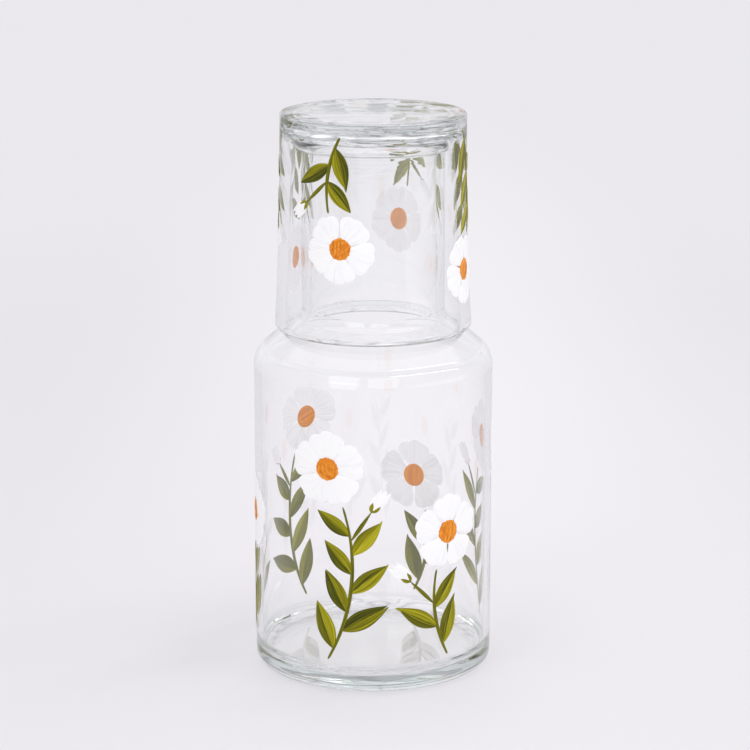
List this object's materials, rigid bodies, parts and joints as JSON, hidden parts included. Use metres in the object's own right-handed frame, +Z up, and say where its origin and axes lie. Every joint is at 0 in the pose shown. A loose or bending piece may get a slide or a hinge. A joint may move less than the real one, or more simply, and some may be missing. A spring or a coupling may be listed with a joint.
{
  "type": "bedside carafe with tumbler",
  "caption": "Clear glass bedside carafe with a painted floral pattern, covered by its tumbler, which stands upside down over the neck and lifts off.",
  "frame": {"origin": "centre of the foot, on the surface that the carafe stands on", "axes": "+Z up along the axis of both glasses, -Y towards the front of the painting"},
  "size_m": [0.0846, 0.0845, 0.1974],
  "materials": {
    "carafe_glass": "clear, smooth blown glass",
    "tumbler_glass": "clear, smooth pressed glass with a solid base",
    "white_enamel": "brushed white enamel, fired, satin gloss",
    "orange_enamel": "dabbed orange enamel, fired, satin gloss",
    "green_enamel": "brushed olive green enamel, fired, satin gloss"
  },
  "bodies": {
    "carafe": {"carafe": "carafe_glass", "carafe_petals": "white_enamel", "carafe_flower_eyes": "orange_enamel", "carafe_foliage": "green_enamel"},
    "tumbler": {"tumbler": "tumbler_glass", "tumbler_petals": "white_enamel", "tumbler_flower_eyes": "orange_enamel", "tumbler_foliage": "green_enamel"}
  },
  "joints": [
    {"name": "tumbler_lift", "type": "slide", "parent": "carafe", "child": "tumbler", "axis": [0, 0, 1], "range_m": [0, 0.08]}
  ]
}
